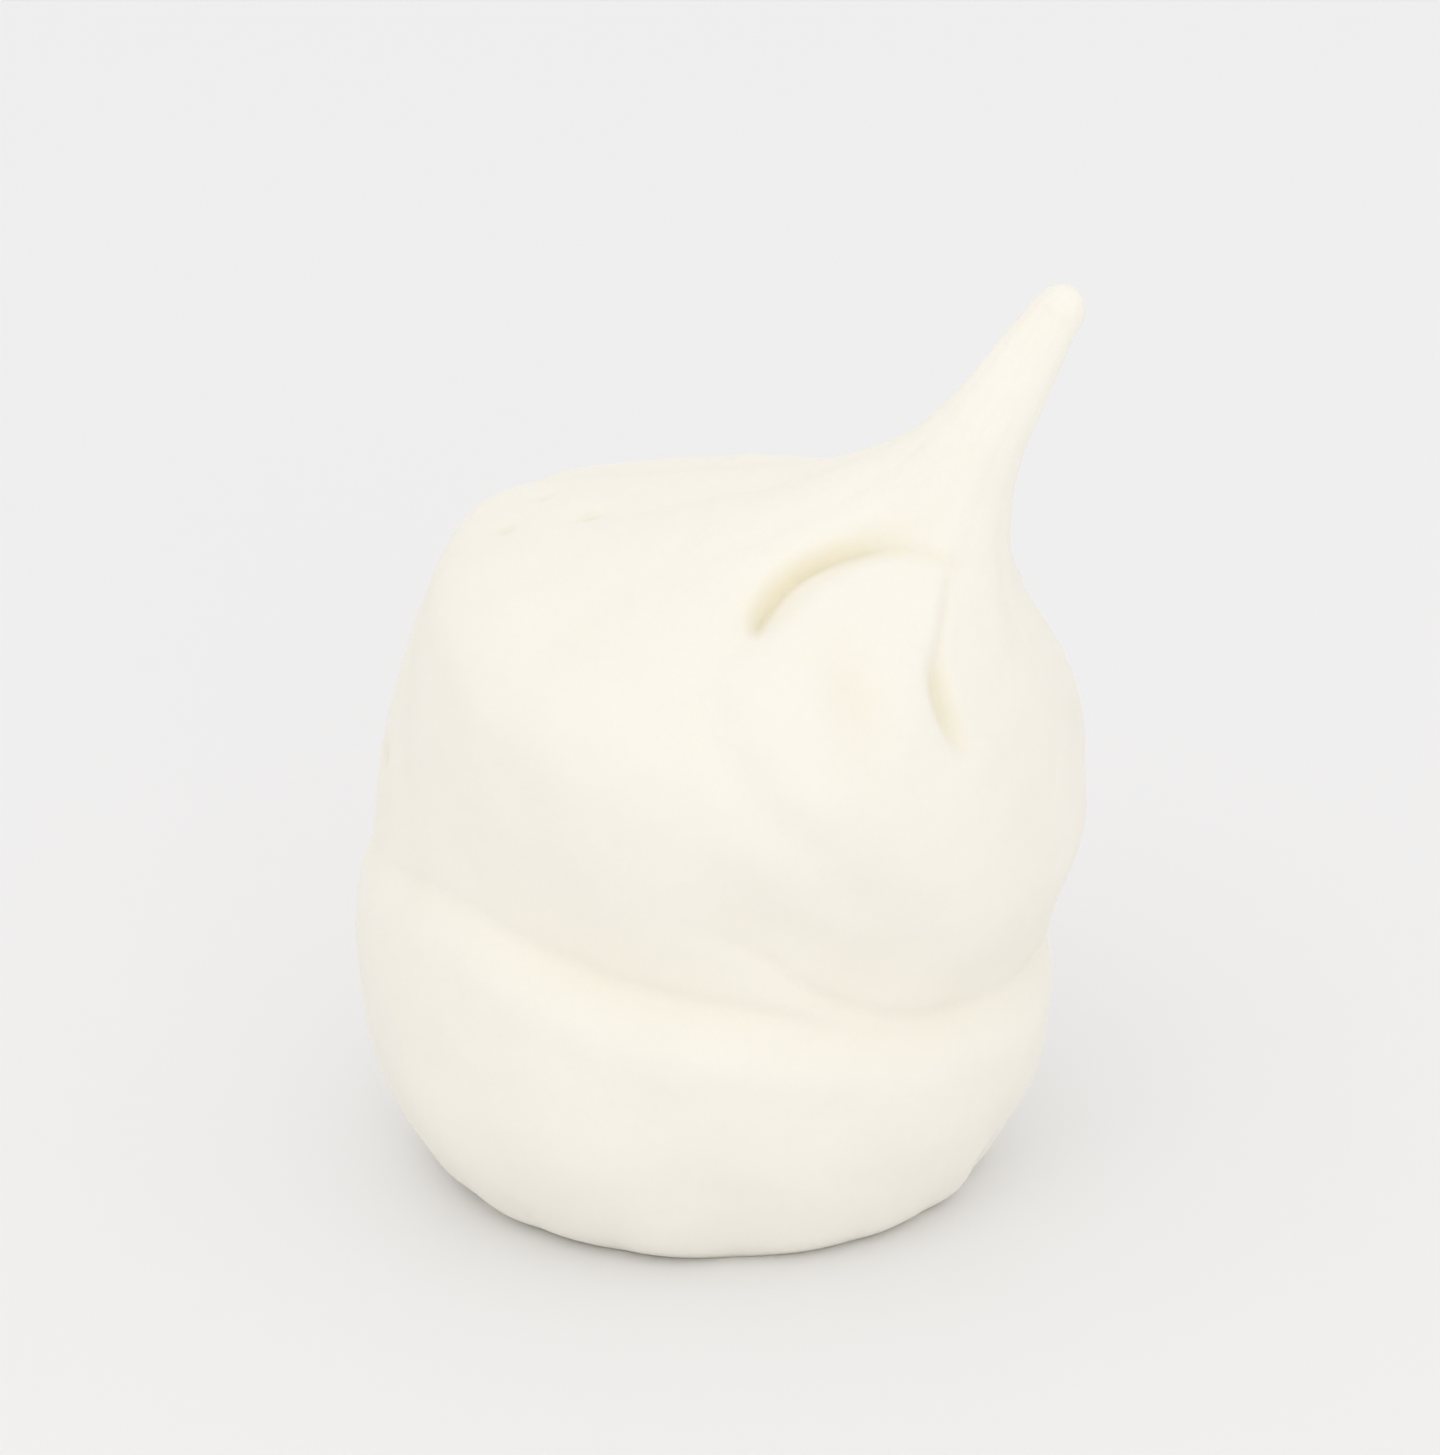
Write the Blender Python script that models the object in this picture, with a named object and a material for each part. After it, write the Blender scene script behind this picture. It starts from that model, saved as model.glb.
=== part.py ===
"""Piped meringue kiss: a flat-footed, onion-shaped bulb with soft twisted ridges and a drawn-out peak.

Metres, +Z up, +X towards the side the peak leans to, -Y the front.
The origin is the middle of the bounding box, on the flat foot.
"""

import math

import bmesh
import bpy
from mathutils import Vector, noise

# Driving dimensions
BULB_RADIUS = 0.0202                # widest part of the bulb
HEIGHT = 0.0535                     # foot to the end of the peak, before it is rounded
PEAK_LEAN = 0.0203                  # how far the tip stands off towards +X
PEAK_FORWARD = 0.0060               # how far the root of the peak stands off towards -Y
LEAN_HEADING = math.radians(-28)
TIP_LENGTH = 0.0016                 # rounded end of the peak

# Sections of the loft: height, radius, lean and forward set as shares of the sizes above,
# and how far the section tips towards the peak, in degrees
SECTIONS = (
    (0.000, 0.735, -0.015, 0.00, 0),
    (0.030, 0.820, -0.024, 0.00, 0),
    (0.129, 0.950, -0.026, 0.00, 0),
    (0.240, 0.996, -0.034, -0.02, 2),
    (0.328, 1.003, -0.012, -0.02, 6),
    (0.438, 0.989, 0.055, 0.05, 12),
    (0.524, 0.979, 0.094, 0.18, 18),
    (0.588, 0.940, 0.117, 0.37, 19),
    (0.648, 0.824, 0.163, 0.64, 16),
    (0.705, 0.624, 0.278, 0.91, 15),
    (0.769, 0.360, 0.475, 1.06, 18),
    (0.822, 0.212, 0.605, 1.10, 25),
    (0.876, 0.129, 0.704, 1.08, 33),
    (0.934, 0.092, 0.806, 0.98, 37),
    (1.005, 0.063, 0.938, 0.70, 30),
)

# Ridges left by the nozzle, twisted on their way up
RIDGES = 11
RIDGE_TWIST = math.radians(100)     # turn of a ridge from foot to tip
RIDGE_SHARPNESS = 0.7
RIDGE_MEAN = 0.7                    # mean of the ridge wave, so that ridges leave the girth as it is
RIDGE_DRIFT = ((2, 0.5, 0.6), (3, 0.4, 2.0))    # waves round the bulb, size and phase of the unevenness
FOOT_RELIEF = 0.0012
BULB_RELIEF = 0.0009
PEAK_RELIEF_SHARE = 0.10            # of the peak's own radius
FOOT_TO_BULB = (0.08, 0.30)         # shares of HEIGHT over which one relief turns into the next
BULB_TO_PEAK = (0.60, 0.80)
SMOOTH_SIDE = math.radians(-85)     # the ridges all but fade out here
BULB_SMOOTHING = 0.8
FOOT_SMOOTHING = 0.4
PEAK_SMOOTHING = 0.5

# The seam where the upper coil laps over the foot: angle in degrees, height as a share of HEIGHT
# and strength. It runs once round the bulb, and its two ends pass each other in front.
SEAM = (
    (-104, 0.436, 0.0),
    (-88, 0.394, 0.5),
    (-76, 0.343, 0.9),
    (-64, 0.303, 1.0),
    (-44, 0.271, 1.0),
    (20, 0.250, 0.4),
    (100, 0.280, 0.5),
    (180, 0.362, 0.3),
    (215, 0.395, 0.5),
    (242, 0.362, 1.0),
    (258, 0.342, 1.0),
    (277, 0.320, 0.9),
    (292, 0.288, 0.5),
    (318, 0.250, 0.0),
)
SEAM_DEPTH = 0.0017
SEAM_ABOVE = 0.0045                 # reach of the hollow above and below the seam
SEAM_BELOW = 0.0016
SEAM_LIP = 0.14                     # share of the depth by which the foot's upper edge stands out
SEAM_LIP_DROP = 0.0028

# The swirl that curls over the root of the peak, and the dimple under it,
# laid out to the right of and above a centre on the surface
SWIRL_CENTRE = Vector((0.0091, -0.0155, 0.0368))
SWIRL_OUTWARD = Vector((0.0080, -0.0120, 0.0150)).normalized()
SWIRL_RIGHT = Vector((0, 0, 1)).cross(SWIRL_OUTWARD).normalized()
SWIRL_UP = SWIRL_OUTWARD.cross(SWIRL_RIGHT)
SWIRL_RADIUS = 0.0072
SWIRL_WIDTH = 0.0012
SWIRL_DEPTH = 0.0015
SWIRL_START = math.radians(40)
SWIRL_END = math.radians(165)
SWIRL_FADE = math.radians(40)
SWIRL_SWELL = 0.0006
DIMPLE = Vector((-0.0028, -0.0010))
DIMPLE_SIZE = Vector((0.0016, 0.0036))
DIMPLE_DEPTH = 0.0006

UNEVEN_SIZE = 0.012                 # lumps of the hand-piped surface
UNEVEN_DEPTH = 0.0005
LEVEL_FOOT = 0.004                  # below this the relief is pressed sideways only

COLUMNS = 88
ROWS_PER_SECTION = 4
CAP_ROWS = 4
NECK_RADIUS = 0.0040                # the columns are halved where the loft gets thinner than this
SHARP_EDGE = math.radians(50)

CRUST_COLOUR = (0.93, 0.90, 0.81, 1.0)
CRUST_ROUGHNESS = 0.6


def clear_scene():
    for item in list(bpy.data.objects):
        bpy.data.objects.remove(item, do_unlink=True)


def blend(value, start, end):
    """Smooth step from 0 at start to 1 at end."""
    share = min(max((value - start) / (end - start), 0.0), 1.0)
    return share * share * (3.0 - 2.0 * share)


def bell(value, reach):
    return math.exp(-(value / reach) ** 2)


def through_points(points, position):
    """Smooth curve through a row of points, at a position counted in points."""
    index = min(int(position), len(points) - 2)
    share = position - index
    before = points[max(index - 1, 0)]
    start = points[index]
    end = points[index + 1]
    after = points[min(index + 2, len(points) - 1)]
    return [
        b + 0.5 * share * (c - a + share * (2 * a - 5 * b + 4 * c - d + share * (3 * (b - c) + d - a)))
        for a, b, c, d in zip(before, start, end, after)
    ]


class Section:
    """One cross-section of the loft: its centre, radius, axis and the two directions across it."""

    def __init__(self, position):
        height, radius, lean, forward, tip = through_points(SECTIONS, position)
        self.centre = Vector((lean * PEAK_LEAN, -forward * PEAK_FORWARD, height * HEIGHT))
        self.radius = radius * BULB_RADIUS
        tilt = math.radians(tip)
        level = math.sin(tilt)
        self.axis = Vector((level * math.cos(LEAN_HEADING), level * math.sin(LEAN_HEADING), math.cos(tilt)))
        self.right = (Vector((1, 0, 0)) - self.axis * self.axis.x).normalized()
        self.back = self.axis.cross(self.right)

    def point(self, angle, radius, lift):
        outward = self.right * math.cos(angle) + self.back * math.sin(angle)
        return self.centre + outward * radius + self.axis * lift


def ridge_relief(angle, height, radius):
    """Height of the nozzle's ridges: broad crowns between narrower valleys."""
    rise = height / HEIGHT
    turned = angle + RIDGE_TWIST * rise
    drift = sum(size * math.sin(waves * turned + phase) for waves, size, phase in RIDGE_DRIFT)
    crown = abs(math.cos((RIDGES * turned + drift) / 2)) ** RIDGE_SHARPNESS
    smooth = math.sqrt(0.5 + 0.5 * math.cos(angle - SMOOTH_SIDE))
    foot = FOOT_RELIEF * (1 - FOOT_SMOOTHING * smooth)
    bulb = BULB_RELIEF * (1 - BULB_SMOOTHING * smooth)
    peak = min(PEAK_RELIEF_SHARE * radius, BULB_RELIEF) * (1 - PEAK_SMOOTHING * smooth)
    relief = foot + (bulb - foot) * blend(rise, *FOOT_TO_BULB)
    relief += (peak - relief) * blend(rise, *BULB_TO_PEAK)
    return relief * (crown - RIDGE_MEAN)


def seam_profile(above):
    """Section through the seam: a long hollow over it, a short one under it, then the foot's lip."""
    if above > 0:
        return bell(above, SEAM_ABOVE)
    return bell(above, SEAM_BELOW) - SEAM_LIP * bell(above + SEAM_LIP_DROP, SEAM_BELOW)


def seam_hollow(angle, height):
    """Depth of the hollow along the lapped seam."""
    left = 1.0
    for turn in (-360, 0, 360):
        course = math.degrees(angle) + turn
        if not SEAM[0][0] <= course <= SEAM[-1][0]:
            continue
        index = max(i for i, point in enumerate(SEAM[:-1]) if point[0] <= course)
        share = (course - SEAM[index][0]) / (SEAM[index + 1][0] - SEAM[index][0])
        _, level, strength = through_points(SEAM, index + share)
        left *= 1.0 - min(max(strength, 0.0), 1.0) * seam_profile(height - level * HEIGHT)
    return SEAM_DEPTH * (1.0 - left)


def swirl_relief(place):
    """The fold that curls over the root of the peak, the swell inside it and its dimple."""
    offset = place - SWIRL_CENTRE
    if offset.length > 2 * SWIRL_RADIUS:
        return 0.0
    across = offset.dot(SWIRL_RIGHT)
    above = offset.dot(SWIRL_UP)
    away = math.hypot(across, above)
    bearing = math.atan2(above, across)
    shown = blend(bearing, SWIRL_START, SWIRL_START + SWIRL_FADE)
    shown *= blend(bearing, SWIRL_END, SWIRL_END - SWIRL_FADE)
    fold = shown * bell(away - SWIRL_RADIUS, SWIRL_WIDTH)
    swell = 1 - blend(away, 0, SWIRL_RADIUS)
    dimple = bell(across - DIMPLE.x, DIMPLE_SIZE.x) * bell(above - DIMPLE.y, DIMPLE_SIZE.y)
    return SWIRL_SWELL * swell - SWIRL_DEPTH * fold - DIMPLE_DEPTH * dimple


def surface_relief(place, angle, radius):
    lumps = UNEVEN_DEPTH * noise.noise(place / UNEVEN_SIZE)
    fold = swirl_relief(place) - seam_hollow(angle, place.z)
    return ridge_relief(angle, place.z, radius) + fold + lumps


def loft_rows():
    """Section, radius and lift of each ring above the foot, up to the end of the rounded tip."""
    count = (len(SECTIONS) - 1) * ROWS_PER_SECTION
    sections = [Section(row / ROWS_PER_SECTION) for row in range(1, count + 1)]
    rows = [(section, section.radius, 0.0) for section in sections]
    last = sections[-1]
    for step in range(1, CAP_ROWS + 1):
        turn = step / CAP_ROWS * math.pi / 2
        rows.append((last, last.radius * math.cos(turn), TIP_LENGTH * math.sin(turn)))
    return rows


def lifted(mesh, ring):
    """Extrude a closed ring of vertices and return the new ring in the same order."""
    edges = [mesh.edges.get(pair) for pair in zip(ring, ring[1:] + ring[:1])]
    grown = bmesh.ops.extrude_edge_only(mesh, edges=edges)["geom"]
    fresh = {item for item in grown if isinstance(item, bmesh.types.BMVert)}
    return [next(e.other_vert(v) for e in v.link_edges if e.other_vert(v) in fresh) for v in ring]


def piped_bulb(mesh):
    """Loft the smooth bulb and peak ring by ring; return each vertex's angle and section radius."""
    foot = Section(0)
    circle = bmesh.ops.create_circle(mesh, cap_ends=True, segments=COLUMNS, radius=foot.radius)["verts"]
    ring = sorted(circle, key=lambda vert: math.atan2(vert.co.y, vert.co.x))
    angles = [math.atan2(vert.co.y, vert.co.x) for vert in ring]
    traits = dict(zip(ring, ((angle, foot.radius) for angle in angles)))
    bmesh.ops.translate(mesh, verts=ring, vec=foot.centre)
    for section, radius, lift in loft_rows():
        ring = lifted(mesh, ring)
        if radius < NECK_RADIUS and len(ring) == COLUMNS:
            bmesh.ops.weld_verts(mesh, targetmap=dict(zip(ring[1::2], ring[::2])))
            ring = ring[::2]
            angles = angles[::2]
        for vert, angle in zip(ring, angles):
            vert.co = section.point(angle, radius, lift)
            traits[vert] = (angle, radius)
    bmesh.ops.pointmerge(mesh, verts=ring, merge_co=ring[0].co)
    bmesh.ops.recalc_face_normals(mesh, faces=mesh.faces)
    return {vert: trait for vert, trait in traits.items() if vert.is_valid}


def shape_surface(mesh, traits):
    """Press the ridges, seam, swirl and lumps into the smooth loft; the foot stays flat."""
    mesh.normal_update()
    moves = {}
    for vert, (angle, radius) in traits.items():
        moves[vert] = vert.normal * surface_relief(vert.co, angle, radius)
        moves[vert].z *= blend(vert.co.z, 0, LEVEL_FOOT)
    for vert, move in moves.items():
        vert.co += move


def centre_on_origin(mesh):
    middle = [(min(v.co[i] for v in mesh.verts) + max(v.co[i] for v in mesh.verts)) / 2 for i in (0, 1)]
    bmesh.ops.translate(mesh, verts=mesh.verts, vec=(-middle[0], -middle[1], 0))


def crust_material():
    material = bpy.data.materials.new("meringue_crust")
    material.use_nodes = True
    shader = material.node_tree.nodes["Principled BSDF"]
    shader.inputs["Base Color"].default_value = CRUST_COLOUR
    shader.inputs["Roughness"].default_value = CRUST_ROUGHNESS
    shader.inputs["Metallic"].default_value = 0.0
    return material


def build_meringue():
    mesh = bmesh.new()
    shape_surface(mesh, piped_bulb(mesh))
    centre_on_origin(mesh)
    bmesh.ops.triangulate(mesh, faces=mesh.faces)
    data = bpy.data.meshes.new("meringue")
    mesh.to_mesh(data)
    mesh.free()
    data.materials.append(crust_material())
    data.shade_smooth()
    data.set_sharp_from_angle(angle=SHARP_EDGE)
    return bpy.data.objects.new("meringue", data)


def main():
    clear_scene()
    collection = bpy.data.collections.new("meringue_cookie")
    bpy.context.scene.collection.children.link(collection)
    collection.objects.link(build_meringue())


main()
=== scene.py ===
"""Look of a piped meringue kiss: its ridges, lapped coil, swirl, peak and dry ivory crust.

Metres, +Z up, +X towards the side the peak leans to, -Y the front.
"""

import math
import random

import bmesh
import bpy
import numpy as np
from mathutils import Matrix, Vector, noise


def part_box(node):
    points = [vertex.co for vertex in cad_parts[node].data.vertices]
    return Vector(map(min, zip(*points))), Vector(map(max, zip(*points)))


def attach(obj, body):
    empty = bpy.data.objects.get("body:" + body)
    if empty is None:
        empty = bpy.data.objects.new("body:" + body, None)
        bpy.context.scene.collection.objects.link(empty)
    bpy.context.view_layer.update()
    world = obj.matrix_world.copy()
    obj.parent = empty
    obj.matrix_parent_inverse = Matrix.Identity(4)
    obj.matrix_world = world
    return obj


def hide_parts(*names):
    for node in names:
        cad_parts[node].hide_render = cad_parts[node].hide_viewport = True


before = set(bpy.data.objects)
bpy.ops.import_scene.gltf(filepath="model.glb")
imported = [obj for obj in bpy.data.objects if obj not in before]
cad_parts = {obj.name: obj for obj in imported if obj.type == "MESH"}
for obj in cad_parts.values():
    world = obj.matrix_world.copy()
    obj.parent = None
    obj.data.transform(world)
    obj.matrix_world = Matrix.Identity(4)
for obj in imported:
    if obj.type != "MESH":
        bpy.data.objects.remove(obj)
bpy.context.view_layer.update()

MM = 0.001


class Board:
    """A flat board held before one side of the cookie, on which creases are laid out."""

    def __init__(self, azimuth, tilt):
        turn = math.radians(azimuth)
        rise = math.radians(tilt)
        out = math.cos(rise)
        self.right = np.array((math.cos(turn), math.sin(turn), 0.0))
        self.towards = np.array((math.sin(turn) * out, -math.cos(turn) * out, math.sin(rise)))
        self.up = np.cross(self.towards, self.right)


# Driving sizes of the piped bulb and its peak
BULB_RADIUS = 0.0202                # widest part of the bulb
HEIGHT = 0.0535                     # foot to the end of the peak, before it is rounded
PEAK_LEAN = 0.0203                  # how far the tip stands off towards +X
PEAK_FORWARD = 0.0060               # how far the root of the peak stands off towards -Y
LEAN_HEADING = math.radians(-28)
TIP_LENGTH = 0.0016                 # rounded end of the peak

# Height, radius, lean and forward set as shares of the sizes above, and tip in degrees
SECTIONS = (
    (0.000, 0.735, -0.015, 0.00, 0),
    (0.030, 0.820, -0.024, 0.00, 0),
    (0.129, 0.950, -0.026, 0.00, 0),
    (0.240, 0.996, -0.034, -0.02, 2),
    (0.328, 1.003, -0.012, -0.02, 6),
    (0.438, 0.989, 0.055, 0.05, 12),
    (0.524, 0.979, 0.094, 0.18, 18),
    (0.588, 0.940, 0.117, 0.37, 19),
    (0.648, 0.824, 0.163, 0.64, 16),
    (0.705, 0.624, 0.278, 0.91, 15),
    (0.769, 0.360, 0.475, 1.06, 18),
    (0.822, 0.212, 0.605, 1.10, 25),
    (0.876, 0.129, 0.704, 1.08, 33),
    (0.934, 0.092, 0.806, 0.98, 37),
    (1.005, 0.063, 0.938, 0.70, 30),
)

# Fineness of the loft
COLUMNS = 384
ROW_SPACING = 0.00033
LOOKUPS_PER_SECTION = 60            # steps in which the loft's length is measured
NECK_RADIUS = 0.0042                # the columns are halved where the loft gets thinner than this
CAP_ROWS = 8
CAP_START = math.radians(14)        # the rounded tip takes up the taper of the peak
SOLE_RINGS = 14

# Ridges left by the nozzle, twisted on their way up
RIDGES = 11
RIDGE_TWIST = math.radians(100)     # turn of a ridge from foot to tip
RIDGE_SHARPNESS = 0.7
RIDGE_MEAN = 0.7                    # mean of the ridge wave, so that ridges leave the girth as it is
VALLEY_ROUNDING = 0.05
RIDGE_DRIFT = ((2, 0.5, 0.6), (3, 0.4, 2.0))    # waves round the bulb, size and phase of the unevenness
FOOT_RELIEF = 0.0012
BULB_RELIEF = 0.0009
PEAK_RELIEF_SHARE = 0.08            # of the peak's own radius
FOOT_TO_BULB = (0.08, 0.30)         # shares of HEIGHT over which one relief turns into the next
BULB_TO_PEAK = (0.60, 0.80)
SMOOTH_SIDE = math.radians(-85)     # the ridges all but fade out here
SMOOTH_SPREAD = 0.4                 # the lower, the further round the bulb the smooth side reaches
BULB_SMOOTHING = 0.85
FOOT_SMOOTHING = 0.8
PEAK_SMOOTHING = 0.7

# Small scallops where the foot spread on the baking sheet
SCALLOPS = 17
SCALLOP_DEPTH = 0.00035
SCALLOP_RISE = 0.0045
SCALLOP_MEAN = 0.64                 # mean of the scallop wave, so that scallops leave the girth as it is
SCALLOP_DRIFT = (3, 0.6, 1.0)       # wave round the foot, size and phase of the unevenness

# The seam where the upper coil laps over the foot: angle in degrees, share of HEIGHT, strength
SEAM = (
    (-104, 0.436, 0.0),
    (-88, 0.394, 0.5),
    (-76, 0.343, 0.9),
    (-64, 0.303, 1.0),
    (-44, 0.271, 1.0),
    (20, 0.250, 0.4),
    (100, 0.280, 0.5),
    (180, 0.362, 0.3),
    (215, 0.395, 0.5),
    (242, 0.362, 1.0),
    (258, 0.342, 1.0),
    (277, 0.320, 0.9),
    (292, 0.288, 0.5),
    (318, 0.250, 0.0),
)
SEAM_DEPTH = 0.0015
SEAM_ABOVE = 0.0045                 # reach of the hollow above and below the seam
SEAM_BELOW = 0.0020
SEAM_LIP = 0.06                     # share of the depth by which the foot's upper edge stands out
SEAM_LIP_DROP = 0.0026
SEAM_LINE_DEPTH = 0.00025           # the fine line in the bottom of the seam
SEAM_LINE_REACH = 0.0006

# The swirl that curls over the root of the peak, laid out round a centre on the surface
SWIRL_CENTRE = Vector((0.0091, -0.0155, 0.0368))
SWIRL_OUTWARD = Vector((0.0080, -0.0120, 0.0150)).normalized()
SWIRL_RIGHT = Vector((0, 0, 1)).cross(SWIRL_OUTWARD).normalized()
SWIRL_UP = SWIRL_OUTWARD.cross(SWIRL_RIGHT)
SWIRL_RADIUS = 0.0072
SWIRL_WIDTH = 0.0012
SWIRL_DEPTH = 0.0008
SWIRL_START = math.radians(40)
SWIRL_END = math.radians(160)
SWIRL_FADE = math.radians(40)
SWIRL_SWELL = 0.0006
DIMPLE = Vector((-0.0028, -0.0010))
DIMPLE_SIZE = Vector((0.0016, 0.0036))
DIMPLE_DEPTH = 0.0006

# Creases laid out on a board held before one side: right and up in millimetres, and strength
FRONT = Board(azimuth=0, tilt=24)
FOLD_COURSE = (
    (2.0, 29.0, 0.0),
    (2.0, 30.3, 0.9),
    (3.0, 32.0, 1.0),
    (4.7, 33.4, 1.0),
    (7.1, 34.2, 0.65),
    (10.1, 34.1, 0.4),
    (12.6, 33.3, 0.3),
    (13.8, 32.3, 0.0),
)
TUCK_COURSE = (
    (12.9, 33.3, 0.1),
    (12.5, 31.1, 0.7),
    (12.1, 29.1, 0.7),
    (11.9, 27.3, 0.3),
    (12.0, 25.9, 0.0),
)
SLIT_COURSE = (
    (12.0, 29.0, 0.0),
    (12.0, 27.5, 0.5),
    (12.2, 26.2, 1.0),
    (12.7, 24.8, 1.0),
    (13.3, 23.6, 0.6),
    (14.1, 22.2, 0.0),
)
LOBE_COURSE = (
    (1.4, 28.7, 0.1),
    (0.4, 26.1, 0.6),
    (0.9, 23.4, 1.0),
    (4.0, 19.2, 1.0),
    (6.8, 16.5, 0.8),
    (10.5, 13.7, 0.4),
    (13.5, 12.1, 0.0),
)
COURSE_SAMPLES = 14                 # points looked up between two points of a course

# Across a course, in millimetres: depth, reach to each side and shift to the left
FOLD_GROOVE = (0.85, 0.50)
TUCK_GROOVE = (0.30, 0.40)
TUCK_EDGE = (0.14, 0.50, -0.80)
SLIT_GROOVE = (0.95, 0.65, -0.30)
LOBE_CROWN = (0.30, 2.20, 2.20)
LOBE_STEP = (0.40, 1.60, -1.00)

# Unevenness of the hand-piped surface: size and depth
LUMPS = (
    (0.0120, 0.00050),
    (0.0045, 0.00016),
    (0.0018, 0.00005),
    (0.0007, 0.000018),
)
LUMP_SHIFT = 7.3                    # keeps lumps of one size apart from those of the next
LEVEL_FOOT = 0.004

# Burst bubbles, between two heights and behind the smooth front
PITS = 32
PIT_SEED = 5
PIT_RADIUS = (0.00038, 0.00075)
PIT_DEPTH_SHARE = 0.5
PIT_HEIGHTS = (0.0015, 0.042)
PIT_FRONT = -0.006

# Painted shade in the hollows, a warm darkening of the colour where shade falls, and the baked sole's own
# tint: the depth that has it in full, and the share that each kind counts for
FULL_TINT_DEPTH = 0.0016
RIDGE_SHADE = 0.25
SWIRL_SHADE = 0.6
SEAM_SHADE = 0.2
PIT_SHADE = 2.0
SOLE_TINT = 0.0004                  # the baked sole is tinted as if it lay this deep
SOLE_TINT_RISE = 0.0006

# The camera looks at the front from far off with a long lens, and aims a little below the middle
CAMERA_LENS = 300
CAMERA_DISTANCE = 0.69
CAMERA_DROP = 0.0012


def blend(value, start, end):
    """Smooth step from 0 at start to 1 at end."""
    share = np.clip((value - start) / (end - start), 0.0, 1.0)
    return share * share * (3.0 - 2.0 * share)


def bell(value, reach):
    return np.exp(-(value / reach) ** 2)


def through_points(points, position):
    """Smooth curve through a row of points, at a position counted in points."""
    index = min(int(position), len(points) - 2)
    share = position - index
    before = points[max(index - 1, 0)]
    start = points[index]
    end = points[index + 1]
    after = points[min(index + 2, len(points) - 1)]
    return [
        b + 0.5 * share * (c - a + share * (2 * a - 5 * b + 4 * c - d + share * (3 * (b - c) + d - a)))
        for a, b, c, d in zip(before, start, end, after)
    ]


def sampled(points, per_span):
    """The smooth curve as rows of samples."""
    count = (len(points) - 1) * per_span
    return np.array([through_points(points, step / per_span) for step in range(count + 1)])


class Section:
    """One cross-section of the loft: its centre, radius, axis and the two directions across it."""

    def __init__(self, position):
        height, radius, lean, forward, tip = through_points(SECTIONS, position)
        self.centre = Vector((lean * PEAK_LEAN, -forward * PEAK_FORWARD, height * HEIGHT))
        self.radius = radius * BULB_RADIUS
        tilt = math.radians(tip)
        level = math.sin(tilt)
        self.axis = Vector((level * math.cos(LEAN_HEADING), level * math.sin(LEAN_HEADING), math.cos(tilt)))
        self.right = (Vector((1, 0, 0)) - self.axis * self.axis.x).normalized()
        self.back = self.axis.cross(self.right)

    def point(self, angle, radius, lift):
        outward = self.right * math.cos(angle) + self.back * math.sin(angle)
        return self.centre + outward * radius + self.axis * lift


def even_positions():
    """Positions along the sections that lie ROW_SPACING apart on the surface."""
    looked_up = np.linspace(0, len(SECTIONS) - 1, LOOKUPS_PER_SECTION * len(SECTIONS))
    sections = [Section(position) for position in looked_up]
    travelled = [0.0]
    for low, high in zip(sections, sections[1:]):
        step = math.hypot((high.centre - low.centre).length, high.radius - low.radius)
        travelled.append(travelled[-1] + step)
    count = round(travelled[-1] / ROW_SPACING)
    return np.interp(np.linspace(0, travelled[-1], count + 1)[1:], travelled, looked_up)


def loft_rows():
    """Section, radius and lift of each ring above the foot, up to the end of the rounded tip."""
    sections = [Section(position) for position in even_positions()]
    rows = [(section, section.radius, 0.0) for section in sections]
    last = sections[-1]
    start_radius = last.radius / math.cos(CAP_START)
    start_lift = TIP_LENGTH * math.sin(CAP_START)
    for step in range(1, CAP_ROWS + 1):
        turn = CAP_START + step / CAP_ROWS * (math.pi / 2 - CAP_START)
        rows.append((last, start_radius * math.cos(turn), TIP_LENGTH * math.sin(turn) - start_lift))
    return rows


def lifted(mesh, ring):
    """Extrude a closed ring of vertices and return the new ring in the same order."""
    edges = [mesh.edges.get(pair) for pair in zip(ring, ring[1:] + ring[:1])]
    grown = bmesh.ops.extrude_edge_only(mesh, edges=edges)["geom"]
    fresh = {item for item in grown if isinstance(item, bmesh.types.BMVert)}
    return [next(e.other_vert(v) for e in v.link_edges if e.other_vert(v) in fresh) for v in ring]


def piped_bulb(mesh):
    """Loft the smooth bulb and peak ring by ring; return each vertex's angle and section radius."""
    foot = Section(0)
    core = foot.radius / SOLE_RINGS
    circle = bmesh.ops.create_circle(mesh, cap_ends=True, segments=COLUMNS, radius=core)["verts"]
    ring = sorted(circle, key=lambda vert: math.atan2(vert.co.y, vert.co.x))
    angles = [math.atan2(vert.co.y, vert.co.x) for vert in ring]
    traits = {}
    rows = [(foot, core * step, 0.0) for step in range(1, SOLE_RINGS + 1)] + loft_rows()
    for number, (section, radius, lift) in enumerate(rows):
        if number:
            ring = lifted(mesh, ring)
        if number > SOLE_RINGS and radius < NECK_RADIUS and len(ring) == COLUMNS:
            bmesh.ops.weld_verts(mesh, targetmap=dict(zip(ring[1::2], ring[::2])))
            ring = ring[::2]
            angles = angles[::2]
        for vert, angle in zip(ring, angles):
            vert.co = section.point(angle, radius, lift)
            traits[vert] = (angle, radius)
    bmesh.ops.pointmerge(mesh, verts=ring, merge_co=ring[0].co)
    bmesh.ops.recalc_face_normals(mesh, faces=mesh.faces)
    return {vert: trait for vert, trait in traits.items() if vert.is_valid}


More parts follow.
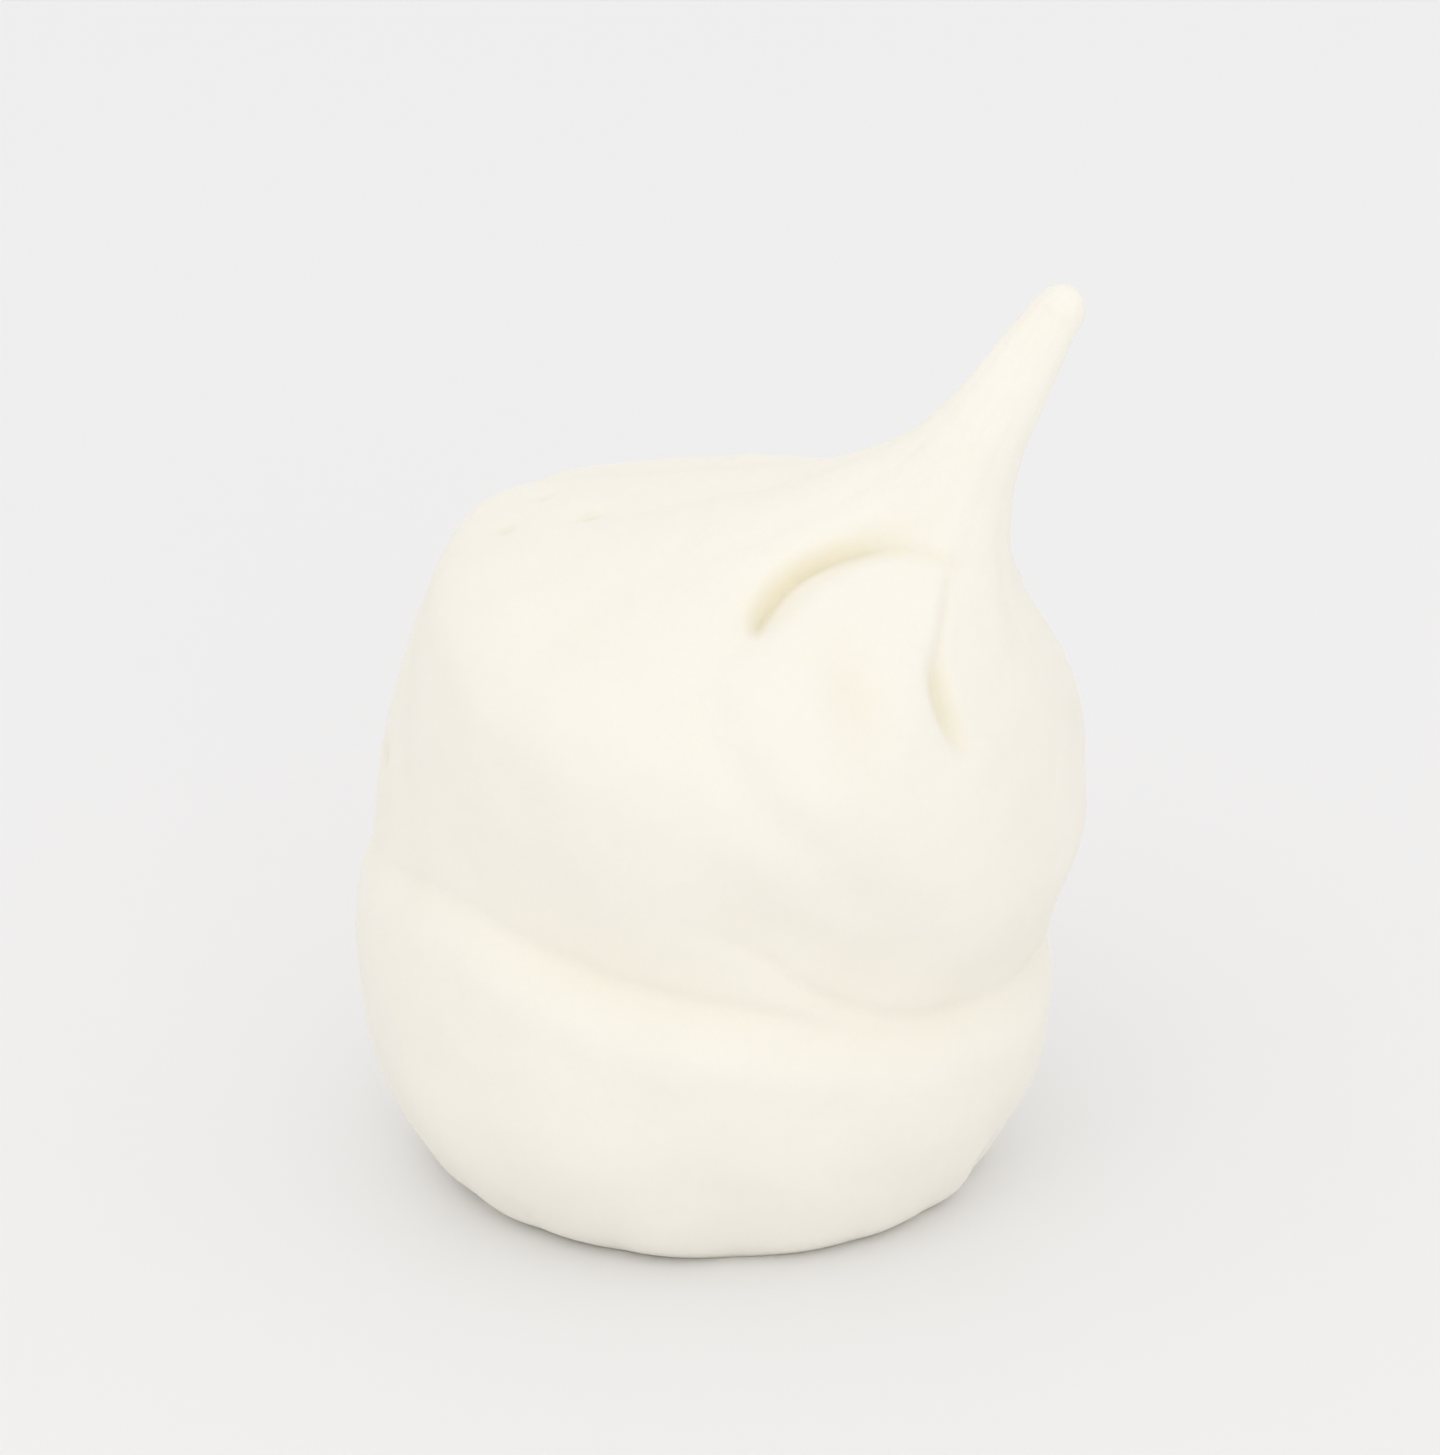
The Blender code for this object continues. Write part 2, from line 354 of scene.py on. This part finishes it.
def ridge_relief(angle, height, radius):
    """Height of the nozzle's ridges: broad crowns between narrower valleys; and how deep a valley is."""
    rise = height / HEIGHT
    turned = angle + RIDGE_TWIST * rise
    drift = sum(size * np.sin(waves * turned + phase) for waves, size, phase in RIDGE_DRIFT)
    wave = np.cos((RIDGES * turned + drift) / 2)
    crown = (wave ** 2 + VALLEY_ROUNDING) ** (RIDGE_SHARPNESS / 2)
    smooth = (0.5 + 0.5 * np.cos(angle - SMOOTH_SIDE)) ** SMOOTH_SPREAD
    foot = FOOT_RELIEF * (1 - FOOT_SMOOTHING * smooth)
    bulb = BULB_RELIEF * (1 - BULB_SMOOTHING * smooth)
    peak = np.minimum(PEAK_RELIEF_SHARE * radius, BULB_RELIEF) * (1 - PEAK_SMOOTHING * smooth)
    relief = foot + (bulb - foot) * blend(rise, *FOOT_TO_BULB)
    relief = relief + (peak - relief) * blend(rise, *BULB_TO_PEAK)
    return relief * (crown - RIDGE_MEAN), relief * (1 - crown)


def scallop_relief(angle, height):
    waves, size, phase = SCALLOP_DRIFT
    drift = size * np.sin(waves * angle + phase)
    wave = np.abs(np.sin(SCALLOPS / 2 * angle + drift)) - SCALLOP_MEAN
    return SCALLOP_DEPTH * wave * (1 - blend(height, 0, SCALLOP_RISE))


def seam_profile(above):
    """Section through the seam: a long hollow over it, a short one under it, then the foot's lip."""
    over = bell(above, SEAM_ABOVE)
    under = bell(above, SEAM_BELOW) - SEAM_LIP * bell(above + SEAM_LIP_DROP, SEAM_BELOW)
    return np.where(above > 0, over, under)


def seam_hollow(angle, height):
    """Depth of the hollow along the lapped seam, with the fine line in its bottom."""
    course = sampled(SEAM, COURSE_SAMPLES)
    left = np.ones_like(angle)
    line = np.zeros_like(angle)
    for turn in (-360, 0, 360):
        along = np.degrees(angle) + turn
        level = np.interp(along, course[:, 0], course[:, 1]) * HEIGHT
        strength = np.interp(along, course[:, 0], np.clip(course[:, 2], 0, 1), left=0, right=0)
        left = left * (1 - strength * seam_profile(height - level))
        line = np.maximum(line, strength * bell(height - level, SEAM_LINE_REACH))
    return SEAM_DEPTH * (1 - left) + SEAM_LINE_DEPTH * line


def swirl_relief(places):
    """The fold that curls over the root of the peak, the swell inside it and its dimple."""
    offset = places - np.array(SWIRL_CENTRE)
    across = offset @ np.array(SWIRL_RIGHT)
    above = offset @ np.array(SWIRL_UP)
    near = np.linalg.norm(offset, axis=1) < 2 * SWIRL_RADIUS
    away = np.hypot(across, above)
    bearing = np.arctan2(above, across)
    shown = blend(bearing, SWIRL_START, SWIRL_START + SWIRL_FADE)
    shown = shown * blend(-bearing, -SWIRL_END, SWIRL_FADE - SWIRL_END)
    fold = near * shown * bell(away - SWIRL_RADIUS, SWIRL_WIDTH)
    swell = near * (1 - blend(away, 0, SWIRL_RADIUS))
    dimple = near * bell(across - DIMPLE.x, DIMPLE_SIZE.x) * bell(above - DIMPLE.y, DIMPLE_SIZE.y)
    hollow = SWIRL_DEPTH * fold + DIMPLE_DEPTH * dimple
    return SWIRL_SWELL * swell - hollow, hollow


class Course:
    """A line laid out on a board: for every place, how far to its left it lies and how strong it is there."""

    def __init__(self, board, points, places, normals):
        line = sampled(points, COURSE_SAMPLES)
        spots = line[:, :2] * MM
        strengths = np.clip(line[:, 2], 0, 1)
        step = np.gradient(spots, axis=0)
        step /= np.linalg.norm(step, axis=1)[:, None]
        shown = np.stack((places @ board.right, places @ board.up), axis=1)
        offsets = shown[:, None, :] - spots[None, :, :]
        nearest = np.argmin((offsets ** 2).sum(axis=2), axis=1)
        offset = offsets[np.arange(len(shown)), nearest]
        heading = step[nearest]
        side = heading[:, 0] * offset[:, 1] - heading[:, 1] * offset[:, 0]
        self.left = np.copysign(np.linalg.norm(offset, axis=1), side) / MM
        self.strength = strengths[nearest] * (normals @ board.towards > 0)

    def pressed(self, depth, reach, shift=0.0):
        """Depth in metres of a line pressed in along the course, from sizes in millimetres."""
        return depth * MM * self.strength * bell(self.left - shift, reach)


def front_creases(places, normals):
    """Fine folds of the front: relief that is pressed in or stands out, and the depth of its hollows."""
    fold = Course(FRONT, FOLD_COURSE, places, normals)
    tuck = Course(FRONT, TUCK_COURSE, places, normals)
    slit = Course(FRONT, SLIT_COURSE, places, normals)
    lobe = Course(FRONT, LOBE_COURSE, places, normals)
    hollow = fold.pressed(*FOLD_GROOVE) + tuck.pressed(*TUCK_GROOVE) + slit.pressed(*SLIT_GROOVE)
    relief = tuck.pressed(*TUCK_EDGE) + lobe.pressed(*LOBE_CROWN) - lobe.pressed(*LOBE_STEP)
    return relief - hollow, hollow


def pit_depths(places, normals):
    """Round pits of burst bubbles, on all sides but the front."""
    draw = random.Random(PIT_SEED)
    depth = np.zeros(len(places))
    made = 0
    while made < PITS:
        middle = places[draw.randrange(len(places))]
        radius = draw.uniform(*PIT_RADIUS)
        if not PIT_HEIGHTS[0] <= middle[2] <= PIT_HEIGHTS[1] or middle[1] < PIT_FRONT:
            continue
        away = np.linalg.norm(places - middle, axis=1)
        depth = np.maximum(depth, PIT_DEPTH_SHARE * radius * bell(away, radius))
        made += 1
    return depth


def lump_relief(places):
    total = np.zeros(len(places))
    for number, (size, depth) in enumerate(LUMPS):
        shift = Vector((0, 0, LUMP_SHIFT * number))
        total += depth * np.array([noise.noise(Vector(place) / size + shift) for place in places])
    return total


def shape_surface(mesh, traits, shade_and_sole_tint):
    """Press all relief into the smooth loft and note for each vertex how much painted shade its hollow gets,
    with the baked sole's own tint; the foot stays flat.
    """
    mesh.normal_update()
    verts = list(traits)
    places = np.array([vert.co for vert in verts])
    normals = np.array([vert.normal for vert in verts])
    angle, radius = np.array(list(traits.values())).T
    height = places[:, 2]
    ridges, valleys = ridge_relief(angle, height, radius)
    swirl, swirl_depth = swirl_relief(places)
    creases, crease_depth = front_creases(places, normals)
    seam = seam_hollow(angle, height)
    pits = pit_depths(places, normals)
    relief = ridges + scallop_relief(angle, height) + swirl + creases - seam - pits + lump_relief(places)
    moves = normals * relief[:, None]
    moves[:, 2] *= blend(height, 0, LEVEL_FOOT)
    # Painted shade: each kind of hollow darkens the colour by its depth; the sole's tint is its own baked
    # colour.
    depth = RIDGE_SHADE * valleys + SWIRL_SHADE * swirl_depth + crease_depth
    depth += SEAM_SHADE * np.maximum(seam, 0) + PIT_SHADE * pits
    depth += SOLE_TINT * (1 - blend(height, 0, SOLE_TINT_RISE))
    for vert, move, shade_and_sole_share in zip(verts, moves, depth / FULL_TINT_DEPTH):
        vert.co += Vector(move)
        vert[shade_and_sole_tint] = min(shade_and_sole_share, 1.0)


def centre_on_origin(mesh):
    middle = [(min(v.co[i] for v in mesh.verts) + max(v.co[i] for v in mesh.verts)) / 2 for i in (0, 1)]
    bmesh.ops.translate(mesh, verts=mesh.verts, vec=(-middle[0], -middle[1], 0))


def new_node(material, kind, **settings):
    node = material.node_tree.nodes.new(kind)
    for name, value in settings.items():
        setattr(node, name, value)
    return node


def crust_material():
    """Dry matt ivory crust with a faint mottle and a fine sugar grain; painted warm shade darkens the
    hollows, and the sole keeps its baked tint.
    """
    material = bpy.data.materials.new("meringue_crust")
    material.use_nodes = True
    link = material.node_tree.links.new
    shader = material.node_tree.nodes["Principled BSDF"]
    place = new_node(material, "ShaderNodeTexCoord").outputs["Object"]

    mottle = new_node(material, "ShaderNodeTexNoise")
    mottle.inputs["Scale"].default_value = 160
    mottle.inputs["Detail"].default_value = 3
    link(place, mottle.inputs["Vector"])
    tone = new_node(material, "ShaderNodeMix", data_type="RGBA")
    tone.inputs["A"].default_value = (0.90, 0.870, 0.785, 1)
    tone.inputs["B"].default_value = (0.93, 0.906, 0.838, 1)
    link(mottle.outputs["Fac"], tone.inputs["Factor"])

    # Painted shade: the hollows are darkened to a golden brown in the base colour, which also gives the sole
    # its own baked tint.
    hollow = new_node(material, "ShaderNodeAttribute", attribute_name="hollow")
    shade_and_sole_mix = new_node(material, "ShaderNodeMix", data_type="RGBA")
    shade_and_sole_mix.inputs["B"].default_value = (0.855, 0.795, 0.60, 1)
    link(tone.outputs["Result"], shade_and_sole_mix.inputs["A"])
    link(hollow.outputs["Fac"], shade_and_sole_mix.inputs["Factor"])
    link(shade_and_sole_mix.outputs["Result"], shader.inputs["Base Color"])

    grain = new_node(material, "ShaderNodeTexNoise")
    grain.inputs["Scale"].default_value = 3200
    grain.inputs["Detail"].default_value = 2
    link(place, grain.inputs["Vector"])
    bump = new_node(material, "ShaderNodeBump")
    bump.inputs["Strength"].default_value = 0.25
    bump.inputs["Distance"].default_value = 0.00006
    link(grain.outputs["Fac"], bump.inputs["Height"])
    link(bump.outputs["Normal"], shader.inputs["Normal"])

    dull = new_node(material, "ShaderNodeMapRange")
    dull.inputs["To Min"].default_value = 0.52
    dull.inputs["To Max"].default_value = 0.72
    link(mottle.outputs["Fac"], dull.inputs["Value"])
    link(dull.outputs["Result"], shader.inputs["Roughness"])
    shader.inputs["Specular IOR Level"].default_value = 0.35
    shader.inputs["Subsurface Weight"].default_value = 0.25
    shader.inputs["Subsurface Radius"].default_value = (1.0, 0.85, 0.6)
    shader.inputs["Subsurface Scale"].default_value = 0.0012
    return material


def build_meringue():
    mesh = bmesh.new()
    # The "hollow" layer carries painted shade for the hollows and the sole's own baked tint.
    shade_and_sole_tint = mesh.verts.layers.float.new("hollow")
    shape_surface(mesh, piped_bulb(mesh), shade_and_sole_tint)
    centre_on_origin(mesh)
    bmesh.ops.recalc_face_normals(mesh, faces=mesh.faces)
    data = bpy.data.meshes.new("piped_meringue")
    mesh.to_mesh(data)
    mesh.free()
    data.materials.append(crust_material())
    data.shade_smooth()
    meringue = bpy.data.objects.new("piped_meringue", data)
    bpy.context.scene.collection.objects.link(meringue)
    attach(meringue, "root")
    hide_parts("meringue")
    return meringue


def floor_material():
    material = bpy.data.materials.new("pale_table")
    material.use_nodes = True
    shader = material.node_tree.nodes["Principled BSDF"]
    shader.inputs["Base Color"].default_value = (0.86, 0.86, 0.87, 1)
    shader.inputs["Roughness"].default_value = 0.55
    return material


def build_floor():
    mesh = bmesh.new()
    bmesh.ops.create_grid(mesh, x_segments=1, y_segments=1, size=2.0)
    data = bpy.data.meshes.new("table")
    mesh.to_mesh(data)
    mesh.free()
    data.materials.append(floor_material())
    table = bpy.data.objects.new("table", data)
    bpy.context.scene.collection.objects.link(table)


def add_lamp(name, place, target, size, power, colour):
    lamp = bpy.data.lights.new(name, "AREA")
    lamp.shape = "DISK"
    lamp.size = size
    lamp.energy = power
    lamp.color = colour
    holder = bpy.data.objects.new(name, lamp)
    holder.location = place
    holder.rotation_euler = (Vector(target) - Vector(place)).to_track_quat("-Z", "Y").to_euler()
    bpy.context.scene.collection.objects.link(holder)


def light_studio():
    world = bpy.data.worlds.new("studio")
    world.use_nodes = True
    sky = world.node_tree.nodes["Background"]
    sky.inputs["Color"].default_value = (1.0, 0.99, 0.98, 1)
    sky.inputs["Strength"].default_value = 0.97
    bpy.context.scene.world = world
    add_lamp("window", (-0.20, -0.50, 0.70), (0, 0, 0.02), 0.5, 0.35, (1.0, 0.99, 0.97))
    add_lamp("fill", (0.20, -0.75, 0.16), (0, 0, 0.02), 0.5, 0.55, (1.0, 0.99, 0.98))


def place_camera():
    low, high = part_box("meringue")
    middle = (low + high) / 2
    camera = bpy.data.cameras.new("camera")
    camera.lens = CAMERA_LENS
    camera.clip_start = 0.01
    holder = bpy.data.objects.new("camera", camera)
    towards = Vector(FRONT.towards)
    holder.location = middle - Vector((0, 0, CAMERA_DROP)) + towards * CAMERA_DISTANCE
    holder.rotation_euler = (-towards).to_track_quat("-Z", "Y").to_euler()
    bpy.context.scene.collection.objects.link(holder)
    bpy.context.scene.camera = holder


build_meringue()
build_floor()
light_studio()
place_camera()
bpy.context.scene.view_settings.view_transform = "Standard"
